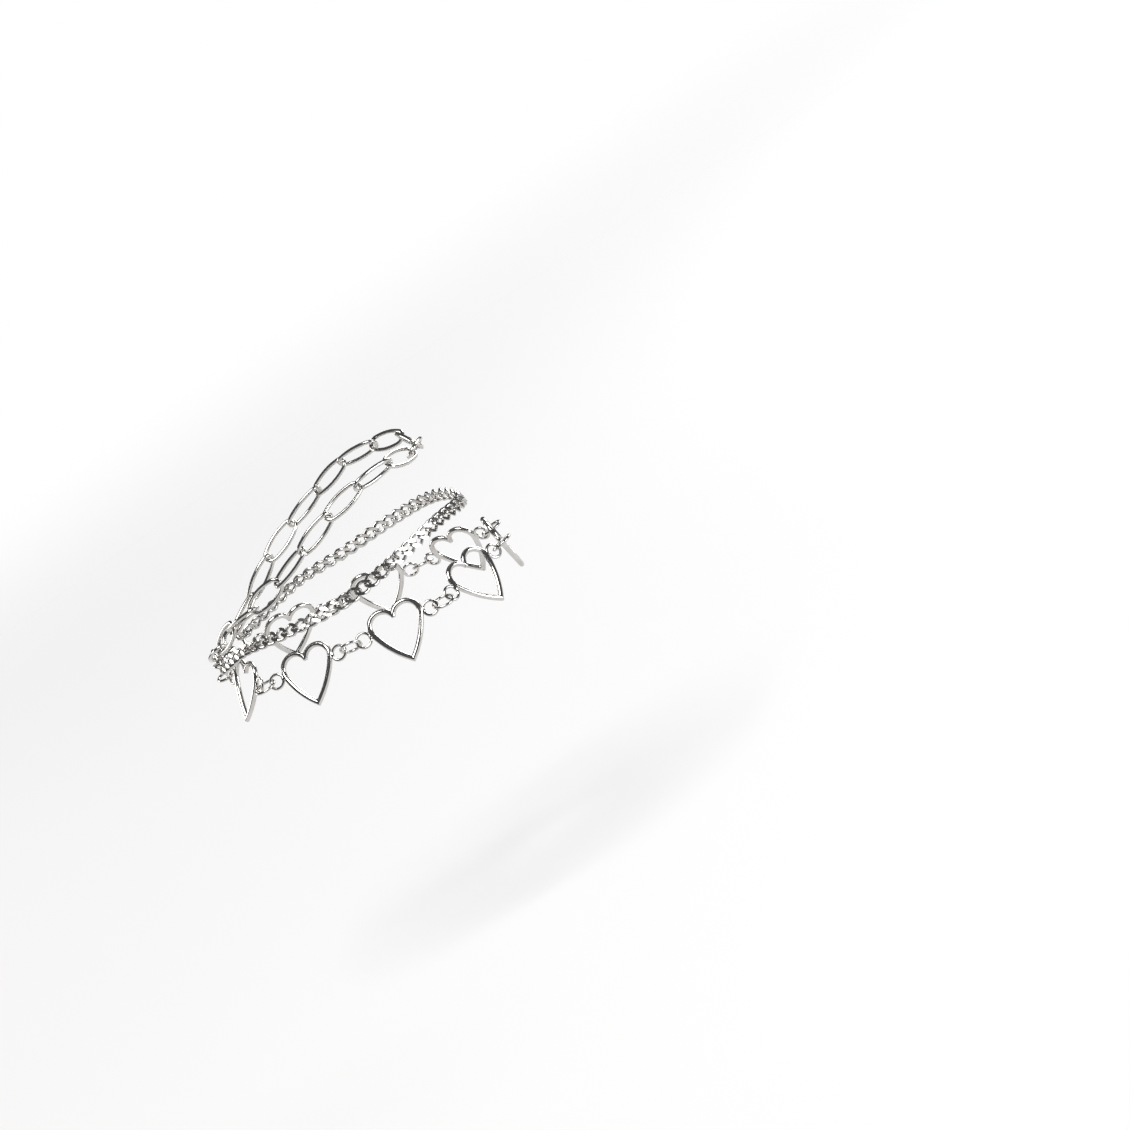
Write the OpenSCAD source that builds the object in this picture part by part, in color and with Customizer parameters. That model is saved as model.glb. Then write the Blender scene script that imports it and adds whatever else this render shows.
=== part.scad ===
// Charm anklet: an oval-link chain, a curb chain and a row of open hearts,
// gathered at the back by two end rings and one clasp.
// Millimetres. Z points up, X to the front and -Y to the outer side, and the origin is the
// middle of the hollow, level with the middle strand.

/* [Hearts] */
// Number of hearts in the lowest strand
heart_count = 8; // [8:1:8]
// Diameter of a heart's wire
heart_wire = 1.5; // [1.3:0.05:1.6]
// Radius of a lobe, at the middle of the wire
heart_lobe_r = 3.75; // [3.6:0.05:3.9]
// Distance of a lobe's centre from the heart's middle line
heart_lobe_x = 3.45; // [3.3:0.05:3.5]
// Height of the lobes' centres over the tip
heart_lobe_y = 11.6; // [11:0.1:12]
// Radius of the long curve down a heart's side
heart_side_r = 26; // [22:0.5:34]

/* [Loops and rings] */
// Wire of the loops at a heart's sides and of the rings between hearts
loop_wire = 0.8; // [0.7:0.05:0.9]
// Outer diameter of the loops soldered to a heart
loop_d = 4.8; // [4.6:0.1:5]
// Distance of a loop's centre from the heart's middle line
loop_x = 9.85; // [9.8:0.05:10]
// Height of the loops' centres over the heart's tip
loop_y = 10.3; // [9.8:0.1:10.8]
// Outer diameter of the rings between hearts
ring_d = 6.5; // [6.4:0.05:6.6]

/* [Oval links] */
// Number of oval links in the top strand
oval_count = 18; // [18:1:18]
// Diameter of their wire
oval_wire = 1.1; // [1:0.05:1.15]
// Outer length of a link
oval_l = 14; // [13.8:0.05:14.2]
// Outer width of a link
oval_w = 6.2; // [6:0.1:6.4]
// Radius of a link's ends, at the middle of the wire
oval_end_r = 1.9; // [1.7:0.05:2.1]

/* [Curb chain] */
// Number of links in the middle strand
curb_count = 60; // [60:1:60]
// Diameter of their wire
curb_wire = 1; // [0.9:0.05:1]
// Distance from one link to the next
curb_pitch = 3.35; // [3.3:0.01:3.4]
// Outer width of the chain
curb_w = 4; // [3.9:0.05:4.1]
// Length of a link over the chain's pitch, at the middle of the wire
curb_overlap = 1.3; // [1.2:0.05:1.4]
// Half depth of a link's twist, at the middle of the wire
curb_twist = 0.62; // [0.6:0.01:0.66]
// Outer diameter of the small rings at the chain's ends
curb_ring_d = 4.8; // [4.6:0.1:5]

/* [Clasp] */
// Outer diameter of the two rings that gather the strands
end_ring_d = 9; // [8.8:0.1:9.4]
// Wire of those rings
end_ring_wire = 1.2; // [1.1:0.05:1.3]
// Length of the clasp's body, at the middle of the wire
clasp_l = 6.6; // [6.2:0.1:7]
// Diameter of the metal round the clasp
clasp_wire = 1.5; // [1.4:0.05:1.6]
// Radius of the clasp's head, at the middle of the wire
clasp_head_r = 2.1; // [2:0.05:2.2]
// Lean of the clasp out of the level
clasp_lean = 14; // [10:1:18]
// Turn from the front to the middle of the clasp, round the outer side
clasp_turn = 196; // [194:1:198]
// Distance of the clasp from the hollow's axis
clasp_reach = 43; // [42.5:0.1:43.5]
// Turn of each end ring from the clasp's own heading towards its strands
end_tilt = 20; // [16:1:24]
// Height of the clasp
clasp_level = -2.6; // [-3:0.1:-2.2]

/* [Play] */
// Clear space wherever one ring bears on the next
play = 0.15; // [0.12:0.01:0.18]
// Clear space between a heart's loop and the ring through it
heart_play = 0.25; // [0.22:0.01:0.28]
// Clear space between two oval links
oval_play = 0.3; // [0.28:0.01:0.34]

/* [Hidden] */
// A strand's table has one row every 30 degrees from the front to the back, the same on both
// sides: reach from the hollow's axis, level, and outward lean of the lower edge.
row_step = 30;
REACH = 0;
LEVEL = 1;
LEAN = 2;
oval_line = [
    [36.2, 18.8, 0],
    [34.6, 22.1, 0],
    [30.8, 22.5, 0],
    [31.6, 17.8, 0],
    [31.8, 11.9, 0],
    [34.7, 7.8, 0],
    [36.2, 7.2, 0]
];
curb_line = [
    [38, 0.5, 8],
    [35.3, 2.1, 8],
    [32.4, 1.2, 6],
    [31.8, 0, 25],
    [33.4, 0.8, 45],
    [35.8, 1.2, 42],
    [36.8, -0.6, 18]
];
heart_line = [
    [43.7, -13.4, 7],
    [41.8, -13.8, 18],
    [37.7, -14.8, 23],
    [33.5, -12.1, 26],
    [36.8, -10.1, 33],
    [41.6, -9.3, 32],
    [42.2, -9.1, 30]
];

// How far the oval links lean to either side, from the clasp round the outer side.
oval_leans = [-85, 28, -76, -8, 62, -28, 46, -46, 34, -60, 24, -52, 40, -44, 44, -44, 36, -84];
// The same for the rings between the hearts and for those at the ends of the row
ring_leans = [88, 84, -54, 74, -78, -84, 78, -74, 88];
// The same for the small rings at the ends of the curb chain
curb_ring_leans = [-56, -78];

up = [0, 0, 1];
// Turn over which a strand leaves its own line to reach an end ring
gather_turn = 34;

heart_ring_r = (ring_d - loop_wire) / 2;
loop_r = (loop_d - loop_wire) / 2;
curb_ring_r = (curb_ring_d - loop_wire) / 2;
end_ring_r = (end_ring_d - end_ring_wire) / 2;
curb_a = (curb_pitch + curb_overlap) / 2;
curb_b = (curb_w - curb_wire) / 2;

// Distance between the centres of two rings that bear on each other
function reach_of(r_1, wire_1, r_2, wire_2) = r_1 + r_2 - (wire_1 + wire_2) / 2 - play;

loop_to_ring = loop_r + heart_ring_r - loop_wire - heart_play;
heart_pitch = 2 * (loop_x + loop_to_ring);
oval_pitch = oval_l - 2 * oval_wire - oval_play;
end_to_heart_ring = reach_of(end_ring_r, end_ring_wire, heart_ring_r, loop_wire) - 0.95;
end_to_oval = end_ring_r - end_ring_wire / 2 - play;
end_to_curb_ring = reach_of(end_ring_r, end_ring_wire, curb_ring_r, loop_wire);
curb_ring_to_curb = reach_of(curb_ring_r, loop_wire, curb_a, curb_wire);

// The clasp: an eye at its tail and an egg-shaped opening at its head
clasp_eye_r = 1.3;
clasp_eye_wire = 0.9;
clasp_tail_x = clasp_eye_r + 0.5;
clasp_head_x = clasp_tail_x + clasp_l - clasp_head_r;
end_to_eye = reach_of(end_ring_r, end_ring_wire, clasp_eye_r, clasp_eye_wire);
end_to_head = reach_of(end_ring_r, end_ring_wire, clasp_head_r, clasp_wire);

function out_at(turn) = [cos(turn), -sin(turn), 0];
clasp_along = cross(out_at(clasp_turn), up);
clasp_mid = out_at(clasp_turn) * clasp_reach + up * clasp_level;
clasp_eye_at = clasp_mid - clasp_along * clasp_head_x / 2;
clasp_head_at = clasp_mid + clasp_along * clasp_head_x / 2;
end_1_along = cross(out_at(clasp_turn - end_tilt), up);
end_2_along = cross(out_at(clasp_turn + end_tilt), up);
end_1_at = clasp_eye_at - end_1_along * end_to_eye;
end_2_at = clasp_head_at + end_2_along * end_to_head;

// Smooth table lookup: a cubic through the rows, mirrored at the front and at the back.
function row_no(k) = k < 0 ? -k : k > 6 ? 12 - k : k;
function cubic(a, b, c, d, f) =
    b + 0.5 * f * (c - a + f * (2 * a - 5 * b + 4 * c - d + f * (3 * (b - c) + d - a)));
function row_at(line, turn) =
    let (round_turn = abs(turn) % 360)
    let (w = round_turn > 180 ? 360 - round_turn : round_turn)
    let (k = floor(w / row_step))
    cubic(line[row_no(k - 1)], line[row_no(k)], line[row_no(k + 1)], line[row_no(k + 2)],
        w / row_step - k);
function line_point(line, turn, ease) =
    let (row = row_at(line, turn))
    [row[REACH] * cos(turn), -row[REACH] * sin(turn) * ease, row[LEVEL]];
function smooth(f) = f <= 0 ? 0 : f >= 1 ? 1 : f * f * (3 - 2 * f);

// A strand is its table, the turns at which it starts and ends, and the two points it starts
// and ends at. It starts at the back, comes round the outer side and ends behind the inner side.
function strand_point(strand, turn, ease) =
    let (line = strand[0], from = strand[1], to = strand[2])
    let (pull_1 = smooth((turn - from) / gather_turn + 1))
    let (pull_2 = smooth((to - turn) / gather_turn + 1))
    line_point(line, turn, ease)
        + pull_1 * (strand[3] - line_point(line, from, ease))
        + pull_2 * (strand[4] - line_point(line, to, ease));

// The turn at which the strand is one chord further on
function next_turn(strand, ease, turn, at, chord, guess, tries) =
    tries == 0 ? guess :
    next_turn(strand, ease, turn, at, chord,
        turn - (turn - guess) * chord / norm(strand_point(strand, guess, ease) - at), tries - 1);
function walk(strand, ease, chord, count) =
    [for (k = 0, turn = strand[1], step = chord; k <= count;
        after = next_turn(strand, ease, turn, strand_point(strand, turn, ease), chord,
            turn - step, 7),
        step = turn - after, turn = after, k = k + 1) turn];

// The chain has a fixed length, so the loop's half width eases in or out until it closes.
function ease_of(strand, chord, count, low, high, tries) =
    let (middle = (low + high) / 2)
    tries == 0 ? middle :
    walk(strand, middle, chord, count)[count] > strand[2]
        ? ease_of(strand, chord, count, low, middle, tries - 1)
        : ease_of(strand, chord, count, middle, high, tries - 1);
function joints_of(strand, chord, count) =
    let (ease = ease_of(strand, chord, count, 0.8, 1.25, 14))
    [for (turn = walk(strand, ease, chord, count))
        concat(strand_point(strand, turn, ease), [turn])];
function place_of(joint) = [joint[0], joint[1], joint[2]];
function turn_of(joint) = joint[3];

// The strands leave the end rings fanned out by these angles
oval_fan = 46;
heart_fan = -40;
function fan_1(angle) = -end_1_along * cos(angle) + up * sin(angle);
function fan_2(angle) = end_2_along * cos(angle) + up * sin(angle);

function strand_of(line, leave, angle) =
    let (start = end_1_at + fan_1(angle) * leave)
    let (end = end_2_at + fan_2(angle) * leave)
    [line, (atan2(-start[1], start[0]) + 360) % 360, atan2(-end[1], end[0]), start, end];

oval_strand = strand_of(oval_line, end_to_oval, oval_fan);
heart_strand = strand_of(heart_line, end_to_heart_ring, heart_fan);
curb_strand = strand_of(curb_line, end_to_curb_ring + curb_ring_to_curb - curb_pitch / 2, 0);

oval_joints = joints_of(oval_strand, oval_pitch, oval_count);
heart_joints = joints_of(heart_strand, heart_pitch, heart_count);
curb_joints = joints_of(curb_strand, curb_pitch, curb_count);

heart_names = [for (k = [1:heart_count]) str("heart_", k)];
heart_ring_names = [for (k = [1:heart_count + 1]) str("heart_ring_", k)];
oval_names = [for (k = [1:oval_count]) str("oval_link_", k)];

// Puts a piece drawn flat, with X along the strand, Y up and Z outward, at a point of the strand.
module lay(at, along, lean) {
    out = cross(along, up) / norm(cross(along, up));
    rise = cross(out, along);
    multmatrix([
        [along[0], rise[0], out[0], at[0]],
        [along[1], rise[1], out[1], at[1]],
        [along[2], rise[2], out[2], at[2]],
        [0, 0, 0, 1]
    ])
        rotate([-lean, 0, 0]) children();
}

// Lays a piece between two neighbouring joints of a strand
module lay_between(joints, k, lean) {
    from = place_of(joints[k]);
    to = place_of(joints[k + 1]);
    lay((from + to) / 2, (to - from) / norm(to - from), lean) children();
}

module wire_arc(r, wire, from, sweep) {
    rotate([0, 0, from]) rotate_extrude(angle = sweep, $fn = 64)
        translate([r, 0]) circle(d = wire, $fn = 24);
}

module wire_ring(r, wire) {
    rotate_extrude($fn = 48) translate([r, 0]) circle(d = wire, $fn = 24);
}

// Half of a heart's wire, with its tip at the origin, cut square on the middle line.
// The long side curve holds the lobe's circle inside it, tangent where they meet.
side_gap = heart_side_r - heart_lobe_r;
lobe_from_tip = norm([heart_lobe_x, heart_lobe_y]);
lobe_bearing = atan2(heart_lobe_y, heart_lobe_x);
side_bearing = lobe_bearing + acos((pow(heart_side_r, 2) + pow(lobe_from_tip, 2)
    - pow(side_gap, 2)) / (2 * heart_side_r * lobe_from_tip));
side_at = heart_side_r * [cos(side_bearing), sin(side_bearing)];
lobe_at = [heart_lobe_x, heart_lobe_y];
meet_angle = atan2(lobe_at[1] - side_at[1], lobe_at[0] - side_at[0]);
tip_angle = atan2(-side_at[1], -side_at[0]);
tip_over = 3;
notch_turn = 166;

module heart_half() {
    intersection() {
        union() {
            translate(side_at)
                wire_arc(heart_side_r, heart_wire, tip_angle - tip_over,
                    meet_angle - tip_angle + tip_over);
            translate(lobe_at)
                wire_arc(heart_lobe_r, heart_wire, meet_angle, notch_turn - meet_angle);
        }
        translate([0, -2, -heart_wire]) cube([20, 24, 2 * heart_wire]);
    }
}

module heart_shape() {
    translate([0, -loop_y, 0]) {
        heart_half();
        mirror([1, 0, 0]) heart_half();
        for (side = [-1, 1]) translate([side * loop_x, loop_y, 0]) wire_ring(loop_r, loop_wire);
    }
}

module heart(k) {
    turn = (turn_of(heart_joints[k - 1]) + turn_of(heart_joints[k])) / 2;
    color("silver") lay_between(heart_joints, k - 1, row_at(heart_line, turn)[LEAN]) heart_shape();
}

module heart_ring(k) {
    last = heart_count;
    before = place_of(heart_joints[max(k - 2, 0)]);
    after = place_of(heart_joints[min(k, last)]);
    color("silver") lay(place_of(heart_joints[k - 1]), (after - before) / norm(after - before),
        ring_leans[k - 1])
        wire_ring(heart_ring_r, loop_wire);
}

// An oval of four arcs, tangent where they meet. The ends are a hair thicker than the sides, and
// the sides reach a little way into them, so that the four make one solid.
oval_a = (oval_l - oval_wire) / 2 - oval_end_r;
oval_b = (oval_w - oval_wire) / 2;
oval_side_r = (pow(oval_a, 2) + pow(oval_b, 2) - pow(oval_end_r, 2)) / (2 * (oval_b - oval_end_r));
oval_half_end = atan2(oval_side_r - oval_b, oval_a);
oval_step = 0.02;
oval_lap = 0.4;

module oval_ring() {
    for (turn = [0, 180]) rotate([0, 0, turn]) {
        translate([oval_a, 0, 0])
            wire_arc(oval_end_r, oval_wire + oval_step, -oval_half_end, 2 * oval_half_end);
        translate([0, oval_b - oval_side_r, 0])
            wire_arc(oval_side_r, oval_wire, oval_half_end - oval_lap,
                180 - 2 * oval_half_end + 2 * oval_lap);
    }
}

module oval_link(k) {
    color("silver") lay_between(oval_joints, k - 1, oval_leans[k - 1]) oval_ring();
}

// A curb link is an oval of wire whose ends are twisted opposite ways.
curb_steps = 12;
curb_sides = 6;
function curb_centre(t) = [curb_a * cos(t), curb_b * sin(t), curb_twist * sin(2 * t)];
function curb_tangent(t) = [-curb_a * sin(t), curb_b * cos(t), 2 * curb_twist * cos(2 * t)];
function curb_rim(t, s) =
    let (along = curb_tangent(t) / norm(curb_tangent(t)))
    let (side = cross(along, up) / norm(cross(along, up)))
    let (rise = cross(side, along))
    curb_centre(t) + curb_wire / 2 * (side * cos(s) + rise * sin(s));
curb_points = [for (i = [0:curb_steps - 1]) for (j = [0:curb_sides - 1])
    curb_rim(i * 360 / curb_steps, j * 360 / curb_sides)];
function curb_index(i, j) = (i % curb_steps) * curb_sides + j % curb_sides;
curb_faces = [for (i = [0:curb_steps - 1]) for (j = [0:curb_sides - 1])
    [curb_index(i, j), curb_index(i, j + 1), curb_index(i + 1, j + 1), curb_index(i + 1, j)]];

module curb_chain() {
    color("silver") for (k = [0:curb_count - 1]) {
        turn = (turn_of(curb_joints[k]) + turn_of(curb_joints[k + 1])) / 2;
        lay_between(curb_joints, k, row_at(curb_line, turn)[LEAN])
            polyhedron(curb_points, curb_faces);
    }
}

module curb_ring(k) {
    at = k == 1 ? end_1_at + fan_1(0) * end_to_curb_ring : end_2_at + fan_2(0) * end_to_curb_ring;
    color("silver") lay(at, k == 1 ? -end_1_along : -end_2_along, curb_ring_leans[k - 1])
        wire_ring(curb_ring_r, loop_wire);
}

module end_ring(k) {
    color("silver") lay(k == 1 ? end_1_at : end_2_at, k == 1 ? -end_1_along : -end_2_along, 0)
        wire_ring(end_ring_r, end_ring_wire);
}

// Half of the clasp's egg-shaped ring, cut square on its middle plane. Its side bulges between
// a small tail and a larger head.
clasp_tail_r = 1.1;
clasp_side_r = 9;
tail_to_head = clasp_l - clasp_head_r - clasp_tail_r;
side_to_tail = clasp_side_r - clasp_tail_r;
side_to_head = clasp_side_r - clasp_head_r;
side_x = (pow(side_to_tail, 2) - pow(side_to_head, 2) + pow(tail_to_head, 2)) / (2 * tail_to_head);
side_y = sqrt(pow(side_to_tail, 2) - pow(side_x, 2));
tail_turn = atan2(side_y, -side_x);
head_turn = atan2(side_y, tail_to_head - side_x);

// Wire that starts on the plane y = 0 and bends towards -X
module wire_bend(r, wire, sweep) {
    translate([-r, 0, 0]) rotate_extrude(angle = sweep, $fn = 64)
        translate([r, 0]) circle(d = wire, $fn = 24);
}

module clasp_half() {
    intersection() {
        translate([tail_to_head + clasp_head_r * cos(head_turn), clasp_head_r * sin(head_turn), 0])
            rotate([0, 0, head_turn]) {
                mirror([0, 1, 0]) wire_bend(clasp_head_r, clasp_wire, head_turn + 10);
                wire_bend(clasp_side_r, clasp_wire, tail_turn - head_turn);
                translate([-clasp_side_r, 0, 0]) rotate([0, 0, tail_turn - head_turn])
                    translate([clasp_side_r, 0, 0])
                        wire_bend(clasp_tail_r, clasp_wire, 180 - tail_turn + 20);
            }
        translate([-4, 0, -clasp_wire]) cube([14, 6, 2 * clasp_wire]);
    }
}

// The hidden fastening, in one plain piece: the egg-shaped ring with an eye at its tail
module clasp() {
    color("silver") lay(clasp_eye_at, clasp_along, 90 - clasp_lean) {
        wire_ring(clasp_eye_r, clasp_eye_wire);
        translate([clasp_tail_x + clasp_tail_r, 0, 0]) {
            clasp_half();
            mirror([0, 1, 0]) clasp_half();
        }
    }
}

for (k = [1:heart_count]) heart(k);
for (k = [1:heart_count + 1]) heart_ring(k);
for (k = [1:oval_count]) oval_link(k);
curb_chain();
for (k = [1, 2]) curb_ring(k);
for (k = [1, 2]) end_ring(k);
clasp();
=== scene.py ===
import math

import bmesh
import bpy
from mathutils import Matrix, Vector


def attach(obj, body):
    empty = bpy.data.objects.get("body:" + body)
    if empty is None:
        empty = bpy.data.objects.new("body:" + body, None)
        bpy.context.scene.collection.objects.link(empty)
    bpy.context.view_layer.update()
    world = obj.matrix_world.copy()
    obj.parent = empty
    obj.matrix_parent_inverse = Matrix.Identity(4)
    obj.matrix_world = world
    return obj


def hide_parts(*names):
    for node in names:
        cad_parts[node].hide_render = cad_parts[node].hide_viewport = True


# Charm anklet in polished silver tone: long oval links above, a bright-cut curb chain in the
# middle, open wire hearts joined by jump rings below. Shapes are drawn in millimetres and
# placed in metres, on the same strands as the solids.

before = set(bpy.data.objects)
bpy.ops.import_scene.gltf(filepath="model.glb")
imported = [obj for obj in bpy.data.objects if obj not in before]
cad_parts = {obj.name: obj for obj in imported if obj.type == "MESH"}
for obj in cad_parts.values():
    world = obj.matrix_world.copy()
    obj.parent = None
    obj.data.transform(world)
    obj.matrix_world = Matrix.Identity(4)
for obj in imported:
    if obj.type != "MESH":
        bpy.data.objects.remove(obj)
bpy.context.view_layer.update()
millimetre = 0.001
up = Vector((0, 0, 1))
print("frame loaded,", len(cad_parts), "nodes")


# Camera, rolled to one side as in the photograph
cameraSetup = {
    "turn": 6.8,  # degrees round from the outer side towards the front
    "rise": 10.0,
    "roll": 34.0,
    "distance": 1.5,
    "imageSize": 1130,
    "pixelsPerMetre": 3700.0,
    "originAt": (344.8, 576.0),  # where the middle of the hollow falls in the picture
}


def aimCamera(setup):
    turn, rise, roll = (math.radians(setup[k]) for k in ("turn", "rise", "roll"))
    toCamera = Vector((math.sin(turn) * math.cos(rise), -math.cos(turn) * math.cos(rise), math.sin(rise)))
    levelRight = up.cross(toCamera).normalized()
    levelUp = toCamera.cross(levelRight)
    right = math.cos(roll) * levelRight - math.sin(roll) * levelUp
    top = math.sin(roll) * levelRight + math.cos(roll) * levelUp
    half = setup["imageSize"] / 2
    across = (half - setup["originAt"][0]) / setup["pixelsPerMetre"]
    above = (setup["originAt"][1] - half) / setup["pixelsPerMetre"]
    place = toCamera * setup["distance"]
    back = (place - right * across - top * above).normalized()
    side = top.cross(back).normalized()
    data = bpy.data.cameras.new("photoCamera")
    data.sensor_width = 36
    data.lens = 36 * setup["distance"] * setup["pixelsPerMetre"] / setup["imageSize"]
    data.clip_start = 0.05
    data.clip_end = 20
    rig = bpy.data.objects.new("photoCamera", data)
    bpy.context.scene.collection.objects.link(rig)
    turned = Matrix((side, back.cross(side), back)).transposed().to_4x4()
    rig.matrix_world = Matrix.Translation(place) @ turned
    bpy.context.scene.camera = rig


aimCamera(cameraSetup)
print("camera placed")


# Metals. A noise scale is in waves to the metre, so 1400 is a wave every 0.7 mm.
silverTone = {
    "heart_metal": {"tint": (0.60, 0.59, 0.575), "rough": (0.07, 0.17), "grain": 0.35},
    "oval_metal": {"tint": (0.59, 0.58, 0.56), "rough": (0.08, 0.19), "grain": 0.4},
    "curb_metal": {"tint": (0.57, 0.56, 0.545), "rough": (0.10, 0.24), "grain": 0.6},
    "ring_metal": {"tint": (0.58, 0.57, 0.555), "rough": (0.09, 0.2), "grain": 0.45},
}
brightCut = {"tint": (0.72, 0.715, 0.70), "rough": (0.03, 0.07), "lines": 5200}


def newMetal(name):
    material = bpy.data.materials.new(name)
    material.use_nodes = True
    tree = material.node_tree
    shader = tree.nodes["Principled BSDF"]
    shader.inputs["Metallic"].default_value = 1
    place = tree.nodes.new("ShaderNodeTexCoord")
    return material, tree, shader, place


def polishedSilver(name, finish):
    # Plated and tumbled: a fine wavy polish, a faint cloudy tone and a gloss dulled here and there
    material, tree, shader, place = newMetal(name)
    cloud = tree.nodes.new("ShaderNodeTexNoise")
    cloud.inputs["Scale"].default_value = 260
    cloud.inputs["Detail"].default_value = 4
    tree.links.new(place.outputs["Object"], cloud.inputs["Vector"])
    tone = tree.nodes.new("ShaderNodeValToRGB")
    r, g, b = finish["tint"]
    tone.color_ramp.elements[0].position = 0.3
    tone.color_ramp.elements[0].color = (r * 0.86, g * 0.85, b * 0.83, 1)
    tone.color_ramp.elements[1].position = 0.62
    tone.color_ramp.elements[1].color = (r, g, b, 1)
    tree.links.new(cloud.outputs["Fac"], tone.inputs["Fac"])
    tree.links.new(tone.outputs["Color"], shader.inputs["Base Color"])
    smear = tree.nodes.new("ShaderNodeTexNoise")
    smear.inputs["Scale"].default_value = 900
    smear.inputs["Detail"].default_value = 3
    tree.links.new(place.outputs["Object"], smear.inputs["Vector"])
    rough = tree.nodes.new("ShaderNodeMapRange")
    rough.inputs["From Min"].default_value = 0.3
    rough.inputs["From Max"].default_value = 0.7
    rough.inputs["To Min"].default_value = finish["rough"][0]
    rough.inputs["To Max"].default_value = finish["rough"][1]
    tree.links.new(smear.outputs["Fac"], rough.inputs["Value"])
    tree.links.new(rough.outputs["Result"], shader.inputs["Roughness"])
    wave = tree.nodes.new("ShaderNodeTexNoise")
    wave.inputs["Scale"].default_value = 1400
    wave.inputs["Detail"].default_value = 2
    tree.links.new(place.outputs["Object"], wave.inputs["Vector"])
    bump = tree.nodes.new("ShaderNodeBump")
    bump.inputs["Strength"].default_value = finish["grain"]
    bump.inputs["Distance"].default_value = 0.00004
    tree.links.new(wave.outputs["Fac"], bump.inputs["Height"])
    tree.links.new(bump.outputs["Normal"], shader.inputs["Normal"])
    return material


def brightCutSilver(name, finish):
    # The flat cuts are mirror bright, and very finely specked
    material, tree, shader, place = newMetal(name)
    shader.inputs["Base Color"].default_value = (*finish["tint"], 1)
    lines = tree.nodes.new("ShaderNodeTexNoise")
    lines.inputs["Scale"].default_value = finish["lines"]
    lines.inputs["Detail"].default_value = 1
    tree.links.new(place.outputs["Object"], lines.inputs["Vector"])
    rough = tree.nodes.new("ShaderNodeMapRange")
    rough.inputs["To Min"].default_value = finish["rough"][0]
    rough.inputs["To Max"].default_value = finish["rough"][1]
    tree.links.new(lines.outputs["Fac"], rough.inputs["Value"])
    tree.links.new(rough.outputs["Result"], shader.inputs["Roughness"])
    return material


metals = {slot: polishedSilver(slot.replace("_metal", "Silver"), finish)
          for slot, finish in silverTone.items()}
cutMetal = brightCutSilver("brightCutSilver", brightCut)
print("metals mixed")


# Wire, drawn with a round section and spun from arc to arc
def wireRadius(ring):
    return (ring["outer"] - ring["wire"]) / 2


def startWire(shape, at, wire, sides):
    # A section across the XZ plane, so that the wire sets off along Y
    turned = Matrix.Translation(at) @ Matrix.Rotation(math.radians(90), 4, "X")
    made = bmesh.ops.create_circle(shape, segments=sides, radius=wire / 2, matrix=turned)
    return list({edge for vert in made["verts"] for edge in vert.link_edges})


def turnSection(shape, edges, centre, angle):
    verts = list({vert for edge in edges for vert in edge.verts})
    bmesh.ops.rotate(shape, verts=verts, cent=centre, matrix=Matrix.Rotation(math.radians(angle), 3, "Z"))


def spinOn(shape, edges, centre, angle, steps):
    spun = bmesh.ops.spin(shape, geom=edges, cent=centre, axis=(0, 0, 1), dvec=(0, 0, 0),
                          angle=math.radians(angle), steps=steps, use_merge=False)
    return [item for item in spun["geom_last"] if isinstance(item, bmesh.types.BMEdge)]


def closeShape(shape, near=0.0005):
    bmesh.ops.remove_doubles(shape, verts=shape.verts, dist=near)
    bmesh.ops.recalc_face_normals(shape, faces=shape.faces)


def ringShape(ring):
    # A jump ring has a fine slit where its ends are pressed together, and a soldered loop has none
    shape = bmesh.new()
    radius, slit = wireRadius(ring), ring.get("slit", 0)
    section = startWire(shape, (radius, 0, 0), ring["wire"], ring["sides"])
    if not slit:
        bmesh.ops.spin(shape, geom=section, cent=(0, 0, 0), axis=(0, 0, 1), dvec=(0, 0, 0),
                       angle=math.radians(360), steps=ring["steps"], use_merge=True)
        closeShape(shape)
        return shape
    turnSection(shape, section, (0, 0, 0), 90 + slit / 2)
    last = spinOn(shape, section, (0, 0, 0), 360 - slit, ring["steps"])
    for rim in (section, last):
        bmesh.ops.contextual_create(shape, geom=rim)
    closeShape(shape, 0.0001)
    ends = [face for face in shape.faces if len(face.verts) == ring["sides"]]
    bmesh.ops.bevel(shape, geom=list({edge for face in ends for edge in face.edges}),
                    offset=0.05, offset_type="OFFSET", segments=2, profile=0.5, affect="EDGES", material=-1)
    return shape


def ovalShape(halfLength, halfWidth, endRadius, wire, sides, endSteps, sideSteps):
    # Four arcs, tangent where they meet
    shape = bmesh.new()
    middle = halfLength - endRadius
    sideRadius = (middle ** 2 + halfWidth ** 2 - endRadius ** 2) / (2 * (halfWidth - endRadius))
    halfEnd = math.degrees(math.atan2(sideRadius - halfWidth, middle))
    section = startWire(shape, (halfLength, 0, 0), wire, sides)
    section = spinOn(shape, section, (middle, 0, 0), halfEnd, endSteps)
    section = spinOn(shape, section, (0, halfWidth - sideRadius, 0), 180 - 2 * halfEnd, sideSteps)
    section = spinOn(shape, section, (-middle, 0, 0), 2 * halfEnd, 2 * endSteps)
    section = spinOn(shape, section, (0, sideRadius - halfWidth, 0), 180 - 2 * halfEnd, sideSteps)
    spinOn(shape, section, (middle, 0, 0), halfEnd, endSteps)
    closeShape(shape)
    return shape


def meshOf(shape, name, creaseAngle=38):
    # Smooth everywhere but at true edges
    limit = math.radians(creaseAngle)
    for face in shape.faces:
        face.smooth = True
    for edge in shape.edges:
        edge.smooth = len(edge.link_faces) == 2 and edge.calc_face_angle(0) < limit
    mesh = bpy.data.meshes.new(name)
    shape.to_mesh(mesh)
    shape.free()
    return mesh


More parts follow.
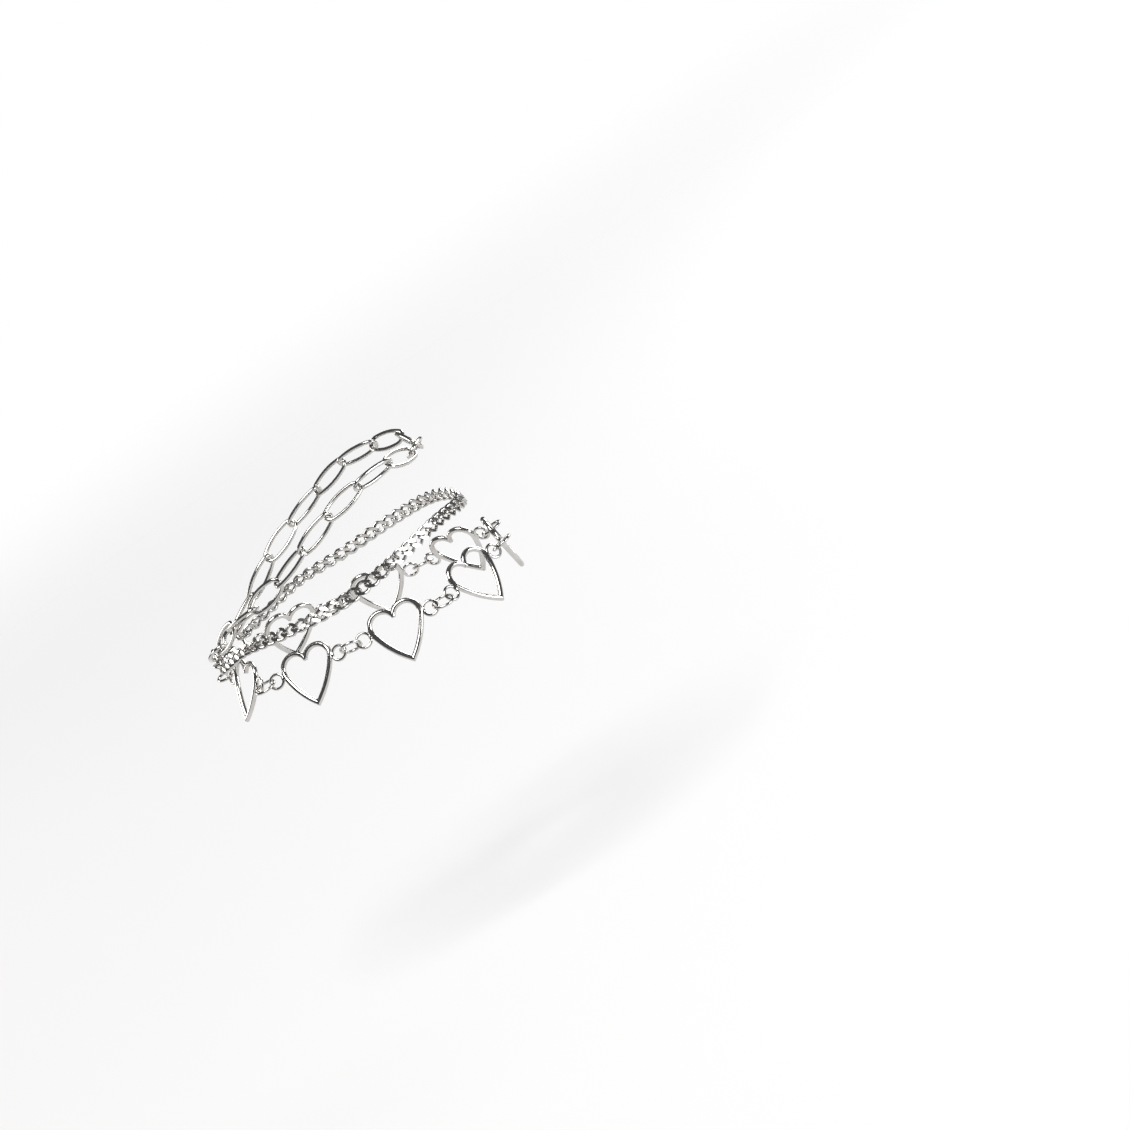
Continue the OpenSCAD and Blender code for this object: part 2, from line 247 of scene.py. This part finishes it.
def unite(base, added, name):
    # Soldered metal is one body
    pair = [bpy.data.objects.new(name + part, mesh) for part, mesh in (("Base", base), ("Added", added))]
    for item in pair:
        bpy.context.scene.collection.objects.link(item)
    weld = pair[0].modifiers.new("weld", "BOOLEAN")
    weld.operation = "UNION"
    weld.solver = "EXACT"
    weld.object = pair[1]
    bpy.context.view_layer.update()
    joined = bpy.data.meshes.new_from_object(pair[0].evaluated_get(bpy.context.evaluated_depsgraph_get()))
    for item in pair:
        bpy.data.objects.remove(item)
    shape = bmesh.new()
    shape.from_mesh(joined)
    return meshOf(shape, name, 46)


def placePiece(mesh, matrix, node, slot, extra=()):
    placed = mesh.copy()
    placed.name = node + "_polished"
    placed.transform(Matrix.Scale(millimetre, 4) @ matrix)
    placed.materials.clear()
    for material in (metals[slot], *extra):
        placed.materials.append(material)
    piece = bpy.data.objects.new(node + "_polished", placed)
    bpy.context.scene.collection.objects.link(piece)
    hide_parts(node)
    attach(piece, "root")


def laidAt(at, along, lean):
    # Drawn flat: X along the strand, Y up, Z outward. A positive lean brings the lower edge out.
    along = along.normalized()
    out = along.cross(up).normalized()
    rise = out.cross(along)
    turned = Matrix((along, rise, out)).transposed().to_4x4()
    return Matrix.Translation(at) @ turned @ Matrix.Rotation(math.radians(-lean), 4, "X")


# Fastening, out of sight at the back: an end ring gathers the three strands at each end, and one
# plain clasp joins the two
ringPlay = 0.15  # clear space where one ring bears on the next
endRing = {"wire": 1.2, "outer": 9, "sides": 16, "steps": 72, "slit": 1.0, "tilt": 20}
claspBody = {"wire": 1.5, "length": 6.6, "headRadius": 2.1, "tailRadius": 1.1, "sideRadius": 9,
             "lean": 14, "turn": 196, "reach": 43, "level": -2.6, "sides": 16}
claspEye = {"wire": 0.9, "outer": 3.5, "sides": 14, "steps": 40, "toTail": 0.5}


def outAt(turn):
    return Vector((math.cos(math.radians(turn)), -math.sin(math.radians(turn)), 0))


def bearing(radius, wire, otherRadius, otherWire):
    return radius + otherRadius - (wire + otherWire) / 2 - ringPlay


tailX = wireRadius(claspEye) + claspEye["toTail"]
headX = tailX + claspBody["length"] - claspBody["headRadius"]
claspAlong = outAt(claspBody["turn"]).cross(up)
claspMiddle = outAt(claspBody["turn"]) * claspBody["reach"] + up * claspBody["level"]
eyeAt = claspMiddle - claspAlong * headX / 2
headAt = claspMiddle + claspAlong * headX / 2
endR = wireRadius(endRing)
endAlong = [outAt(claspBody["turn"] - endRing["tilt"]).cross(up),
            outAt(claspBody["turn"] + endRing["tilt"]).cross(up)]
endAt = [eyeAt - endAlong[0] * bearing(endR, endRing["wire"], wireRadius(claspEye), claspEye["wire"]),
         headAt + endAlong[1] * bearing(endR, endRing["wire"], claspBody["headRadius"], claspBody["wire"])]


def claspShape(clasp):
    # An egg-shaped ring: small tail, long sides, larger head
    tail, head, side = clasp["tailRadius"], clasp["headRadius"], clasp["sideRadius"]
    apart = clasp["length"] - head - tail
    sideX = ((side - tail) ** 2 - (side - head) ** 2 + apart ** 2) / (2 * apart)
    sideY = math.sqrt((side - tail) ** 2 - sideX ** 2)
    tailTurn = math.degrees(math.atan2(sideY, -sideX))
    headTurn = math.degrees(math.atan2(sideY, apart - sideX))
    shape = bmesh.new()
    section = startWire(shape, (apart + head, 0, 0), clasp["wire"], clasp["sides"])
    section = spinOn(shape, section, (apart, 0, 0), headTurn, 14)
    section = spinOn(shape, section, (sideX, -sideY, 0), tailTurn - headTurn, 10)
    section = spinOn(shape, section, (0, 0, 0), 2 * (180 - tailTurn), 20)
    section = spinOn(shape, section, (sideX, sideY, 0), tailTurn - headTurn, 10)
    spinOn(shape, section, (apart, 0, 0), headTurn, 14)
    closeShape(shape)
    bmesh.ops.translate(shape, verts=shape.verts, vec=(tailX + tail, 0, 0))
    return meshOf(shape, "claspBody")


claspMesh = unite(claspShape(claspBody), meshOf(ringShape(claspEye), "claspEye"), "clasp")
placePiece(claspMesh, laidAt(eyeAt, claspAlong, 90 - claspBody["lean"]), "clasp", "ring_metal")
endRingMesh = meshOf(ringShape(endRing), "endRing")
for end in (0, 1):
    placePiece(endRingMesh, laidAt(endAt[end], -endAlong[end], 0), f"end_ring_{end + 1}", "ring_metal")
print("clasp closed")


# Strands: each is a row of equal steps along a smooth line from one end ring round to the other.
# Its rows come every 30 degrees from the front to the back, the same on both sides, with the
# reach from the hollow's axis, the level and the outward lean of the lower edge. Near its ends
# it leaves its own line for the end rings, fanned up or down by an angle.
gatherTurn = 34  # the turn over which a strand leaves its line


def fanned(end, angle):
    level, rise = math.cos(math.radians(angle)), math.sin(math.radians(angle))
    return (-endAlong[0] if end == 0 else endAlong[1]) * level + up * rise


def rowAt(rows, turn):
    # A smooth curve through the rows, which repeat in mirror order past the front and the back
    whole = abs(turn) % 360
    whole = 360 - whole if whole > 180 else whole
    first = int(whole // 30)
    a, b, c, d = (rows[-n if n < 0 else 12 - n if n > 6 else n] for n in range(first - 1, first + 3))
    f = whole / 30 - first
    return [q + 0.5 * f * (r - p + f * (2 * p - 5 * q + 4 * r - s + f * (3 * (q - r) + s - p)))
            for p, q, r, s in zip(a, b, c, d)]


def linePoint(rows, turn, ease):
    reach, level, _ = rowAt(rows, turn)
    angle = math.radians(turn)
    return Vector((reach * math.cos(angle), -reach * math.sin(angle) * ease, level))


def smoothStep(f):
    f = min(max(f, 0), 1)
    return f * f * (3 - 2 * f)


def strandPoint(strand, turn, ease):
    rows, first, last = strand["rows"], strand["first"], strand["last"]
    pullFirst = smoothStep((turn - first) / gatherTurn + 1)
    pullLast = smoothStep((last - turn) / gatherTurn + 1)
    return (linePoint(rows, turn, ease)
            + pullFirst * (strand["start"] - linePoint(rows, first, ease))
            + pullLast * (strand["end"] - linePoint(rows, last, ease)))


def walkStrand(strand, chord, ease):
    turns, step = [strand["first"]], chord
    for _ in range(strand["count"]):
        turn = turns[-1]
        here, guess = strandPoint(strand, turn, ease), turn - step
        for _ in range(7):
            guess = turn - (turn - guess) * chord / (strandPoint(strand, guess, ease) - here).length
        step = turn - guess
        turns.append(guess)
    return turns


def strandJoints(strand, leave, chord):
    strand["start"] = endAt[0] + fanned(0, strand["fan"]) * leave
    strand["end"] = endAt[1] + fanned(1, strand["fan"]) * leave
    strand["first"] = math.degrees(math.atan2(-strand["start"].y, strand["start"].x)) % 360
    strand["last"] = math.degrees(math.atan2(-strand["end"].y, strand["end"].x))
    low, high = 0.8, 1.25
    for _ in range(14):  # the chain's length is fixed, so the loop's half width eases until it closes
        middle = (low + high) / 2
        if walkStrand(strand, chord, middle)[-1] > strand["last"]:
            high = middle
        else:
            low = middle
    ease = (low + high) / 2
    strand["turns"] = walkStrand(strand, chord, ease)
    strand["joints"] = [strandPoint(strand, turn, ease) for turn in strand["turns"]]


def laidBetween(strand, k, lean):
    a, b = strand["joints"][k], strand["joints"][k + 1]
    return laidAt((a + b) / 2, b - a, lean)


def leanBetween(strand, k):
    return rowAt(strand["rows"], (strand["turns"][k] + strand["turns"][k + 1]) / 2)[2]


# Bottom strand: hearts with a soldered loop at each side, joined by jump rings
heartWire = {"wire": 1.5, "lobeRadius": 3.75, "lobeX": 3.45, "lobeY": 11.6, "sideRadius": 26,
             "notchTurn": 166, "sides": 16, "pointRound": 0.16, "endRound": 0.09}
heartLoop = {"wire": 0.8, "outer": 4.8, "x": 9.85, "y": 10.3, "sides": 12, "steps": 44, "play": 0.25}
solder = {"halfSize": (0.52, 0.95, 0.52), "x": 7.86, "y": 0.1}
jumpRing = {"wire": 0.8, "outer": 6.5, "sides": 14, "steps": 72, "slit": 1.3,
            "leans": [88, 84, -54, 74, -78, -84, 78, -74, 88]}
heartStrand = {
    "rows": [(43.7, -13.4, 7), (41.8, -13.8, 18), (37.7, -14.8, 23), (33.5, -12.1, 26),
             (36.8, -10.1, 33), (41.6, -9.3, 32), (42.2, -9.1, 30)],
    "fan": -40,
    "count": 8,
}

jumpR = wireRadius(jumpRing)
# The first and last heart ring cross the end rings aslant, so they sit 0.95 closer
endToHeartRing = bearing(endR, endRing["wire"], jumpR, jumpRing["wire"]) - 0.95
loopToRing = wireRadius(heartLoop) + jumpR - heartLoop["wire"] - heartLoop["play"]
strandJoints(heartStrand, endToHeartRing, 2 * (heartLoop["x"] + loopToRing))


def heartShape(heart):
    # One half runs from just past the tip round the lobe into the notch, is cut off at the middle
    # and mirrored
    side, lobe = heart["sideRadius"], heart["lobeRadius"]
    lobeAt = Vector((heart["lobeX"], heart["lobeY"], 0))
    fromTip = lobeAt.length
    towards = math.atan2(lobeAt.y, lobeAt.x) + math.acos(
        (side ** 2 + fromTip ** 2 - (side - lobe) ** 2) / (2 * side * fromTip))
    sideAt = Vector((math.cos(towards), math.sin(towards), 0)) * side
    meet = math.degrees(math.atan2(lobeAt.y - sideAt.y, lobeAt.x - sideAt.x))
    tip = math.degrees(math.atan2(-sideAt.y, -sideAt.x))
    shape = bmesh.new()
    section = startWire(shape, sideAt + Vector((side, 0, 0)), heart["wire"], heart["sides"])
    turnSection(shape, section, sideAt, tip - 3)
    section = spinOn(shape, section, sideAt, meet - tip + 3, 30)
    section = spinOn(shape, section, lobeAt, heart["notchTurn"] - meet, 40)
    bmesh.ops.contextual_create(shape, geom=section)
    bmesh.ops.bevel(shape, geom=section, offset=heart["endRound"], offset_type="OFFSET", segments=2,
                    profile=0.5, affect="EDGES", material=-1)
    bmesh.ops.bisect_plane(shape, geom=shape.verts[:] + shape.edges[:] + shape.faces[:],
                           plane_co=(0, 0, 0), plane_no=(-1, 0, 0), clear_outer=True)
    bmesh.ops.mirror(shape, geom=shape.verts[:] + shape.edges[:] + shape.faces[:],
                     matrix=Matrix.Identity(4), merge_dist=0.002, axis="X")
    closeShape(shape, 0.002)
    mitre = [edge for edge in shape.edges if all(abs(vert.co.x) < 0.003 for vert in edge.verts)]
    bmesh.ops.bevel(shape, geom=mitre, offset=heart["pointRound"], offset_type="OFFSET", segments=3,
                    profile=0.5, affect="EDGES", material=-1)
    bmesh.ops.translate(shape, verts=shape.verts, vec=(0, -heartLoop["y"], 0))
    return meshOf(shape, "heartWire")


def solderBead(side, bead):
    # A drop of solder fills the corner between a loop and the heart
    shape = bmesh.new()
    bmesh.ops.create_uvsphere(shape, u_segments=20, v_segments=12, radius=1)
    bmesh.ops.scale(shape, verts=shape.verts, vec=bead["halfSize"])
    bmesh.ops.translate(shape, verts=shape.verts, vec=(side * bead["x"], bead["y"], 0))
    bmesh.ops.recalc_face_normals(shape, faces=shape.faces)
    return meshOf(shape, "solderBead")


solderedHeart = heartShape(heartWire)
for side in (-1, 1):
    loop = ringShape(heartLoop)
    bmesh.ops.translate(loop, verts=loop.verts, vec=(side * heartLoop["x"], 0, 0))
    solderedHeart = unite(solderedHeart, meshOf(loop, "heartLoop"), "loopedHeart")
    solderedHeart = unite(solderedHeart, solderBead(side, solder), "solderedHeart")
for k in range(heartStrand["count"]):
    placePiece(solderedHeart, laidBetween(heartStrand, k, leanBetween(heartStrand, k)),
               f"heart_{k + 1}", "heart_metal")
print("hearts bent and soldered")

jumpRingMesh = meshOf(ringShape(jumpRing), "jumpRing")
for k, lean in enumerate(jumpRing["leans"]):
    before = heartStrand["joints"][max(k - 1, 0)]
    after = heartStrand["joints"][min(k + 1, heartStrand["count"])]
    placePiece(jumpRingMesh, laidAt(heartStrand["joints"][k], after - before, lean),
               f"heart_ring_{k + 1}", "ring_metal")
print("heart rings closed")


# Top strand: long oval links, each leaning its own way
ovalLink = {"wire": 1.1, "length": 14, "width": 6.2, "endRadius": 1.9, "sides": 16, "steps": 14, "play": 0.3,
            "leans": [-85, 28, -76, -8, 62, -28, 46, -46, 34, -60, 24, -52, 40, -44, 44, -44, 36, -84]}
ovalStrand = {
    "rows": [(36.2, 18.8, 0), (34.6, 22.1, 0), (30.8, 22.5, 0), (31.6, 17.8, 0),
             (31.8, 11.9, 0), (34.7, 7.8, 0), (36.2, 7.2, 0)],
    "fan": 46,
    "count": 18,
}

strandJoints(ovalStrand, endR - endRing["wire"] / 2 - ringPlay,
             ovalLink["length"] - 2 * ovalLink["wire"] - ovalLink["play"])
ovalMesh = meshOf(ovalShape((ovalLink["length"] - ovalLink["wire"]) / 2,
                            (ovalLink["width"] - ovalLink["wire"]) / 2, ovalLink["endRadius"],
                            ovalLink["wire"], ovalLink["sides"], ovalLink["steps"], ovalLink["steps"]),
                  "ovalLink")
for k, lean in enumerate(ovalLink["leans"]):
    placePiece(ovalMesh, laidBetween(ovalStrand, k, lean), f"oval_link_{k + 1}", "oval_metal")
print("oval links joined")


# Middle strand: a curb chain of twisted links with flat bright cuts, a small ring at each end
curbLink = {"wire": 1.0, "pitch": 3.35, "width": 4.0, "overlap": 1.3, "twist": 0.62, "endRadius": 1.1,
            "sides": 12, "steps": 8, "flatAt": 0.72}
curbRing = {"wire": 0.8, "outer": 4.8, "sides": 14, "steps": 56, "slit": 1.7, "leans": [-56, -78]}
curbStrand = {
    "rows": [(38, 0.5, 8), (35.3, 2.1, 8), (32.4, 1.2, 6), (31.8, 0, 25),
             (33.4, 0.8, 45), (35.8, 1.2, 42), (36.8, -0.6, 18)],
    "fan": 0,
    "count": 60,
}

curbHalf = (curbLink["pitch"] + curbLink["overlap"]) / 2
smallR = wireRadius(curbRing)
endToCurbRing = bearing(endR, endRing["wire"], smallR, curbRing["wire"])
curbRingToCurb = bearing(smallR, curbRing["wire"], curbHalf, curbLink["wire"])
strandJoints(curbStrand, endToCurbRing + curbRingToCurb - curbLink["pitch"] / 2, curbLink["pitch"])


def curbLinkShape(curb):
    # An oval twisted about its length, with its two faces cut flat
    halfWidth = (curb["width"] - curb["wire"]) / 2
    shape = ovalShape(curbHalf, halfWidth, curb["endRadius"], curb["wire"], curb["sides"],
                      curb["steps"], curb["steps"])
    twistPerLength = 2 * curb["twist"] / (curbHalf * halfWidth)
    for vert in shape.verts:
        vert.co.rotate(Matrix.Rotation(twistPerLength * vert.co.x, 3, "X"))
    for face in (1, -1):
        cut = bmesh.ops.bisect_plane(shape, geom=shape.verts[:] + shape.edges[:] + shape.faces[:],
                                     plane_co=(0, 0, face * curb["flatAt"]), plane_no=(0, 0, face),
                                     clear_outer=True)
        rim = [item for item in cut["geom_cut"] if isinstance(item, bmesh.types.BMEdge)]
        filled = bmesh.ops.holes_fill(shape, edges=rim, sides=0)
        for flat in filled["faces"]:
            flat.material_index = 1
    bmesh.ops.dissolve_degenerate(shape, dist=0.002, edges=shape.edges)
    bmesh.ops.recalc_face_normals(shape, faces=shape.faces)
    return shape


def curbChainMesh(curb):
    link = meshOf(curbLinkShape(curb), "curbLink", 30)
    chain = bmesh.new()
    for k in range(curbStrand["count"]):
        placed = link.copy()
        placed.transform(laidBetween(curbStrand, k, leanBetween(curbStrand, k)))
        chain.from_mesh(placed)
    mesh = bpy.data.meshes.new("curbChain")
    chain.to_mesh(mesh)
    chain.free()
    return mesh


placePiece(curbChainMesh(curbLink), Matrix.Identity(4), "curb_chain", "curb_metal", (cutMetal,))
curbRingMesh = meshOf(ringShape(curbRing), "curbRing")
for end, lean in enumerate(curbRing["leans"]):
    placePiece(curbRingMesh, laidAt(endAt[end] + fanned(end, 0) * endToCurbRing, -endAlong[end], lean),
               f"curb_ring_{end + 1}", "ring_metal")
print("curb chain linked")


# Floor, lights and the pale room
floorSetup = {"level": -0.1, "half": 1.6, "tone": (0.86, 0.86, 0.87), "rough": 0.75, "fade": (0.25, 1.3)}
roomSetup = {"seen": (1.0, 1.0, 1.0), "seenStrength": 1.0, "lit": (0.93, 0.96, 1.0), "litStrength": 0.1}
softBoxes = {
    "keyTop": {"place": (-0.08, -0.56, 1.24), "width": 0.75, "height": 0.75, "power": 16,
               "tint": (1.0, 0.985, 0.96)},
    "frontRight": {"place": (0.82, -0.46, 0.08), "width": 0.5, "height": 0.25, "power": 4,
                   "tint": (0.97, 0.98, 1.0)},
    "backRight": {"place": (0.69, 0.87, 0.42), "width": 0.6, "height": 0.6, "power": 9,
                  "tint": (1.0, 1.0, 1.0)},
    "backLeft": {"place": (-0.87, 0.57, 0.31), "width": 0.5, "height": 0.5, "power": 4,
                 "tint": (1.0, 0.98, 0.95)},
}
bpy.context.scene.view_settings.view_transform = "Standard"

floorShape = bmesh.new()
bmesh.ops.create_grid(floorShape, x_segments=1, y_segments=1, size=floorSetup["half"])
floorMesh = bpy.data.meshes.new("paleFloor")
floorShape.to_mesh(floorMesh)
floorShape.free()
floorMesh.transform(Matrix.Translation((0, 0, floorSetup["level"])))
paleFloor = bpy.data.objects.new("paleFloor", floorMesh)
bpy.context.scene.collection.objects.link(paleFloor)

floorMaterial = bpy.data.materials.new("paleFloor")
floorMaterial.use_nodes = True
floorTree = floorMaterial.node_tree
floorShader = floorTree.nodes["Principled BSDF"]
floorShader.inputs["Base Color"].default_value = (*floorSetup["tone"], 1)
floorShader.inputs["Roughness"].default_value = floorSetup["rough"]
floorShader.inputs["Specular IOR Level"].default_value = 0.2
floorPlace = floorTree.nodes.new("ShaderNodeTexCoord")
floorReach = floorTree.nodes.new("ShaderNodeVectorMath")
floorReach.operation = "LENGTH"
floorFade = floorTree.nodes.new("ShaderNodeMapRange")
floorFade.interpolation_type = "SMOOTHSTEP"
floorFade.inputs["From Min"].default_value = floorSetup["fade"][0]
floorFade.inputs["From Max"].default_value = floorSetup["fade"][1]
floorClear = floorTree.nodes.new("ShaderNodeBsdfTransparent")
floorMix = floorTree.nodes.new("ShaderNodeMixShader")
floorTree.links.new(floorPlace.outputs["Object"], floorReach.inputs[0])
floorTree.links.new(floorReach.outputs["Value"], floorFade.inputs["Value"])
floorTree.links.new(floorFade.outputs["Result"], floorMix.inputs["Fac"])
floorTree.links.new(floorShader.outputs["BSDF"], floorMix.inputs[1])
floorTree.links.new(floorClear.outputs["BSDF"], floorMix.inputs[2])
floorTree.links.new(floorMix.outputs["Shader"], floorTree.nodes["Material Output"].inputs["Surface"])
floorMesh.materials.append(floorMaterial)

room = bpy.data.worlds.new("paleRoom")
bpy.context.scene.world = room
room.use_nodes = True
roomTree = room.node_tree
litRoom = roomTree.nodes["Background"]
litRoom.inputs["Color"].default_value = (*roomSetup["lit"], 1)
litRoom.inputs["Strength"].default_value = roomSetup["litStrength"]
seenRoom = roomTree.nodes.new("ShaderNodeBackground")
seenRoom.inputs["Color"].default_value = (*roomSetup["seen"], 1)
seenRoom.inputs["Strength"].default_value = roomSetup["seenStrength"]
rayKind = roomTree.nodes.new("ShaderNodeLightPath")
roomMix = roomTree.nodes.new("ShaderNodeMixShader")
roomTree.links.new(rayKind.outputs["Is Camera Ray"], roomMix.inputs["Fac"])
roomTree.links.new(litRoom.outputs["Background"], roomMix.inputs[1])
roomTree.links.new(seenRoom.outputs["Background"], roomMix.inputs[2])
roomTree.links.new(roomMix.outputs["Shader"], roomTree.nodes["World Output"].inputs["Surface"])

for name, setup in softBoxes.items():
    light = bpy.data.lights.new(name, "AREA")
    light.shape = "RECTANGLE"
    light.size = setup["width"]
    light.size_y = setup["height"]
    light.energy = setup["power"]
    light.color = setup["tint"]
    box = bpy.data.objects.new(name, light)
    bpy.context.scene.collection.objects.link(box)
    box.location = setup["place"]
    box.rotation_euler = box.location.to_track_quat("Z", "Y").to_euler()
print("lights set")
